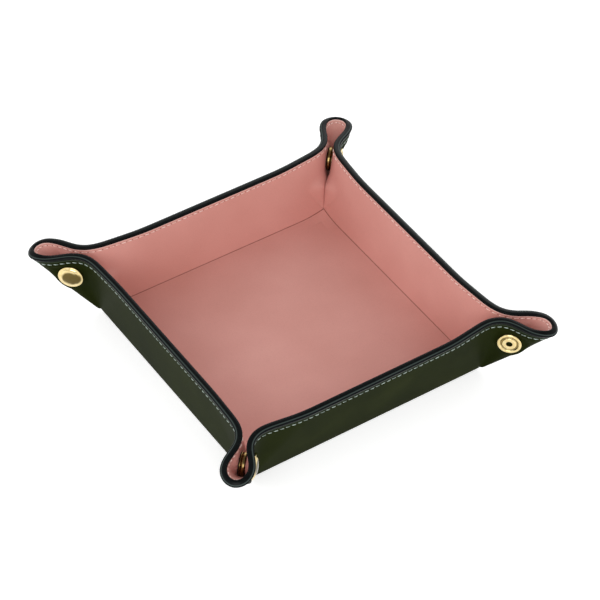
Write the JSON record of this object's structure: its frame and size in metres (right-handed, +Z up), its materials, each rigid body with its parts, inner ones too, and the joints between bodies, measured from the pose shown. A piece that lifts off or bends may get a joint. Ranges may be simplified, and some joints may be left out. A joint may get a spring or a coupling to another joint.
{
  "type": "travel valet tray",
  "caption": "Square leather valet tray with a contrasting lining, its corners pinched and held by snaps, so that it opens flat for packing.",
  "frame": {"origin": "middle of the flat underside, on the surface that the tray stands on", "axes": "+Z up, +X and +Y along the two pairs of sides; the pictured near corner is the one towards +X and -Y"},
  "size_m": [0.1829, 0.183, 0.0382],
  "materials": {
    "cover_leather": "dark green-black fine-grained leather, semi-matt, with a painted edge",
    "lining_leather": "dusty pink leather, smooth and matt",
    "stiffener": "bare grey-brown bonded fibre board, 0.6 mm",
    "gold_brass": "pale gold plated brass, polished"
  },
  "bodies": {
    "base": {"base_cover": "cover_leather", "base_board": "stiffener", "base_lining": "lining_leather"},
    "back_wall": {"back_wall_cover": "cover_leather", "back_wall_board": "stiffener", "back_wall_lining": "lining_leather"},
    "back_cap_pleat": {"back_cap_pleat_cover": "cover_leather", "back_cap_pleat_lining": "lining_leather", "back_snap_cap": "gold_brass", "back_snap_socket": "gold_brass"},
    "back_cap_tip": {"back_cap_tip_cover": "cover_leather", "back_cap_tip_lining": "lining_leather"},
    "back_stud_pleat": {"back_stud_pleat_cover": "cover_leather", "back_stud_pleat_lining": "lining_leather", "back_snap_stud": "gold_brass"},
    "back_stud_tip": {"back_stud_tip_cover": "cover_leather", "back_stud_tip_lining": "lining_leather"},
    "right_wall": {"right_wall_cover": "cover_leather", "right_wall_board": "stiffener", "right_wall_lining": "lining_leather"},
    "right_cap_pleat": {"right_cap_pleat_cover": "cover_leather", "right_cap_pleat_lining": "lining_leather", "right_snap_cap": "gold_brass", "right_snap_socket": "gold_brass"},
    "right_cap_tip": {"right_cap_tip_cover": "cover_leather", "right_cap_tip_lining": "lining_leather"},
    "right_stud_pleat": {"right_stud_pleat_cover": "cover_leather", "right_stud_pleat_lining": "lining_leather", "right_snap_stud": "gold_brass"},
    "right_stud_tip": {"right_stud_tip_cover": "cover_leather", "right_stud_tip_lining": "lining_leather"},
    "front_wall": {"front_wall_cover": "cover_leather", "front_wall_board": "stiffener", "front_wall_lining": "lining_leather"},
    "front_cap_pleat": {"front_cap_pleat_cover": "cover_leather", "front_cap_pleat_lining": "lining_leather", "front_snap_cap": "gold_brass", "front_snap_socket": "gold_brass"},
    "front_cap_tip": {"front_cap_tip_cover": "cover_leather", "front_cap_tip_lining": "lining_leather"},
    "front_stud_pleat": {"front_stud_pleat_cover": "cover_leather", "front_stud_pleat_lining": "lining_leather", "front_snap_stud": "gold_brass"},
    "front_stud_tip": {"front_stud_tip_cover": "cover_leather", "front_stud_tip_lining": "lining_leather"},
    "left_wall": {"left_wall_cover": "cover_leather", "left_wall_board": "stiffener", "left_wall_lining": "lining_leather"},
    "left_cap_pleat": {"left_cap_pleat_cover": "cover_leather", "left_cap_pleat_lining": "lining_leather", "left_snap_cap": "gold_brass", "left_snap_socket": "gold_brass"},
    "left_cap_tip": {"left_cap_tip_cover": "cover_leather", "left_cap_tip_lining": "lining_leather"},
    "left_stud_pleat": {"left_stud_pleat_cover": "cover_leather", "left_stud_pleat_lining": "lining_leather", "left_snap_stud": "gold_brass"},
    "left_stud_tip": {"left_stud_tip_cover": "cover_leather", "left_stud_tip_lining": "lining_leather"}
  },
  "joints": [
    {"name": "back_fold", "type": "hinge", "parent": "base", "child": "back_wall", "pos_m": [0, 0.065, 0], "axis": [-1, 0, 0], "range_deg": [0, 76]},
    {"name": "back_cap_pleat_bend", "type": "hinge", "parent": "back_wall", "child": "back_cap_pleat", "pos_m": [0.05972, 0.063, 0.00082], "axis": [-0.0921, -0.161, -0.9827], "range_deg": [-0.02, 41.36], "deforming": ["back_cap_pleat_cover", "back_cap_pleat_lining"]},
    {"name": "back_cap_tip_bend", "type": "hinge", "parent": "back_cap_pleat", "child": "back_cap_tip", "pos_m": [0.06236, 0.06562, 0.00153], "axis": [0.5139, 0.5476, 0.6603], "range_deg": [-0.02, 81.97], "deforming": ["back_cap_tip_cover", "back_cap_tip_lining"]},
    {"name": "back_stud_pleat_bend", "type": "hinge", "parent": "back_wall", "child": "back_stud_pleat", "pos_m": [-0.05972, 0.06299, 0.00082], "axis": [-0.0936, 0.1574, 0.9831], "range_deg": [-0.02, 41.36], "deforming": ["back_stud_pleat_cover", "back_stud_pleat_lining"]},
    {"name": "back_stud_tip_bend", "type": "hinge", "parent": "back_stud_pleat", "child": "back_stud_tip", "pos_m": [-0.06236, 0.06562, 0.00154], "axis": [0.5143, -0.5459, -0.6614], "range_deg": [-0.02, 81.96], "deforming": ["back_stud_tip_cover", "back_stud_tip_lining"]},
    {"name": "right_fold", "type": "hinge", "parent": "base", "child": "right_wall", "pos_m": [0.065, 0, 0], "axis": [0, 1, 0], "range_deg": [-0.02, 68.74]},
    {"name": "right_cap_pleat_bend", "type": "hinge", "parent": "right_wall", "child": "right_cap_pleat", "pos_m": [0.06284, -0.06021, 0.0018], "axis": [-0.2429, 0.2429, -0.9392], "range_deg": [-0.02, 42.61], "deforming": ["right_cap_pleat_cover", "right_cap_pleat_lining"]},
    {"name": "right_cap_tip_bend", "type": "hinge", "parent": "right_cap_pleat", "child": "right_cap_tip", "pos_m": [0.06535, -0.06242, 0.00172], "axis": [0.5577, -0.5117, 0.6535], "range_deg": [-0.02, 81.99], "deforming": ["right_cap_tip_cover", "right_cap_tip_lining"]},
    {"name": "right_stud_pleat_bend", "type": "hinge", "parent": "right_wall", "child": "right_stud_pleat", "pos_m": [0.06284, 0.06021, 0.0018], "axis": [0.242, 0.2432, 0.9393], "range_deg": [-0.02, 42.61], "deforming": ["right_stud_pleat_cover", "right_stud_pleat_lining"]},
    {"name": "right_stud_tip_bend", "type": "hinge", "parent": "right_stud_pleat", "child": "right_stud_tip", "pos_m": [0.06535, 0.06242, 0.00172], "axis": [-0.5573, -0.5118, -0.6538], "range_deg": [-0.02, 81.99], "deforming": ["right_stud_tip_cover", "right_stud_tip_lining"]},
    {"name": "front_fold", "type": "hinge", "parent": "base", "child": "front_wall", "pos_m": [0, -0.065, 0], "axis": [1, 0, 0], "range_deg": [-0.02, 74.2]},
    {"name": "front_cap_pleat_bend", "type": "hinge", "parent": "front_wall", "child": "front_cap_pleat", "pos_m": [-0.05982, -0.06295, 0.00108], "axis": [0.1325, 0.1789, -0.9749], "range_deg": [-0.02, 41.57], "deforming": ["front_cap_pleat_cover", "front_cap_pleat_lining"]},
    {"name": "front_cap_tip_bend", "type": "hinge", "parent": "front_cap_pleat", "child": "front_cap_tip", "pos_m": [-0.06238, -0.06556, 0.00158], "axis": [-0.5138, -0.5484, 0.6597], "range_deg": [-0.02, 81.97], "deforming": ["front_cap_tip_cover", "front_cap_tip_lining"]},
    {"name": "front_stud_pleat_bend", "type": "hinge", "parent": "front_wall", "child": "front_stud_pleat", "pos_m": [0.05981, -0.06297, 0.00108], "axis": [0.131, -0.1824, 0.9745], "range_deg": [-0.02, 41.58], "deforming": ["front_stud_pleat_cover", "front_stud_pleat_lining"]},
    {"name": "front_stud_tip_bend", "type": "hinge", "parent": "front_stud_pleat", "child": "front_stud_tip", "pos_m": [0.06237, -0.06557, 0.00157], "axis": [-0.5134, 0.5502, -0.6586], "range_deg": [-0.02, 81.97], "deforming": ["front_stud_tip_cover", "front_stud_tip_lining"]},
    {"name": "left_fold", "type": "hinge", "parent": "base", "child": "left_wall", "pos_m": [-0.065, 0, 0], "axis": [0, -1, 0], "range_deg": [-0.02, 76.48]},
    {"name": "left_cap_pleat_bend", "type": "hinge", "parent": "left_wall", "child": "left_cap_pleat", "pos_m": [-0.063, 0.0597, 0.00076], "axis": [0.1522, -0.0837, -0.9848], "range_deg": [-0.02, 41.31], "deforming": ["left_cap_pleat_cover", "left_cap_pleat_lining"]},
    {"name": "left_cap_tip_bend", "type": "hinge", "parent": "left_cap_pleat", "child": "left_cap_tip", "pos_m": [-0.06563, 0.06236, 0.00153], "axis": [-0.5454, 0.5144, 0.6618], "range_deg": [-0.02, 81.96], "deforming": ["left_cap_tip_cover", "left_cap_tip_lining"]},
    {"name": "left_stud_pleat_bend", "type": "hinge", "parent": "left_wall", "child": "left_stud_pleat", "pos_m": [-0.063, -0.0597, 0.00076], "axis": [-0.1532, -0.0833, 0.9847], "range_deg": [-0.02, 41.32], "deforming": ["left_stud_pleat_cover", "left_stud_pleat_lining"]},
    {"name": "left_stud_tip_bend", "type": "hinge", "parent": "left_stud_pleat", "child": "left_stud_tip", "pos_m": [-0.06563, -0.06236, 0.00153], "axis": [0.5458, 0.5143, -0.6615], "range_deg": [-0.02, 81.96], "deforming": ["left_stud_tip_cover", "left_stud_tip_lining"]}
  ],
  "couplings": [
    {"joint": "back_cap_pleat_bend", "follows": "back_fold", "ratio": 0.544},
    {"joint": "back_cap_tip_bend", "follows": "back_fold", "ratio": 1.0782},
    {"joint": "back_stud_pleat_bend", "follows": "back_fold", "ratio": 0.5439},
    {"joint": "back_stud_tip_bend", "follows": "back_fold", "ratio": 1.0782},
    {"joint": "right_fold", "follows": "back_fold", "ratio": 0.90419},
    {"joint": "right_cap_pleat_bend", "follows": "back_fold", "ratio": 0.56044},
    {"joint": "right_cap_tip_bend", "follows": "back_fold", "ratio": 1.0786},
    {"joint": "right_stud_pleat_bend", "follows": "back_fold", "ratio": 0.56044},
    {"joint": "right_stud_tip_bend", "follows": "back_fold", "ratio": 1.0786},
    {"joint": "front_fold", "follows": "back_fold", "ratio": 0.97605},
    {"joint": "front_cap_pleat_bend", "follows": "back_fold", "ratio": 0.54673},
    {"joint": "front_cap_tip_bend", "follows": "back_fold", "ratio": 1.0783},
    {"joint": "front_stud_pleat_bend", "follows": "back_fold", "ratio": 0.5468},
    {"joint": "front_stud_tip_bend", "follows": "back_fold", "ratio": 1.0783},
    {"joint": "left_fold", "follows": "back_fold", "ratio": 1.006},
    {"joint": "left_cap_pleat_bend", "follows": "back_fold", "ratio": 0.54334},
    {"joint": "left_cap_tip_bend", "follows": "back_fold", "ratio": 1.0782},
    {"joint": "left_stud_pleat_bend", "follows": "back_fold", "ratio": 0.54337},
    {"joint": "left_stud_tip_bend", "follows": "back_fold", "ratio": 1.0782}
  ]
}
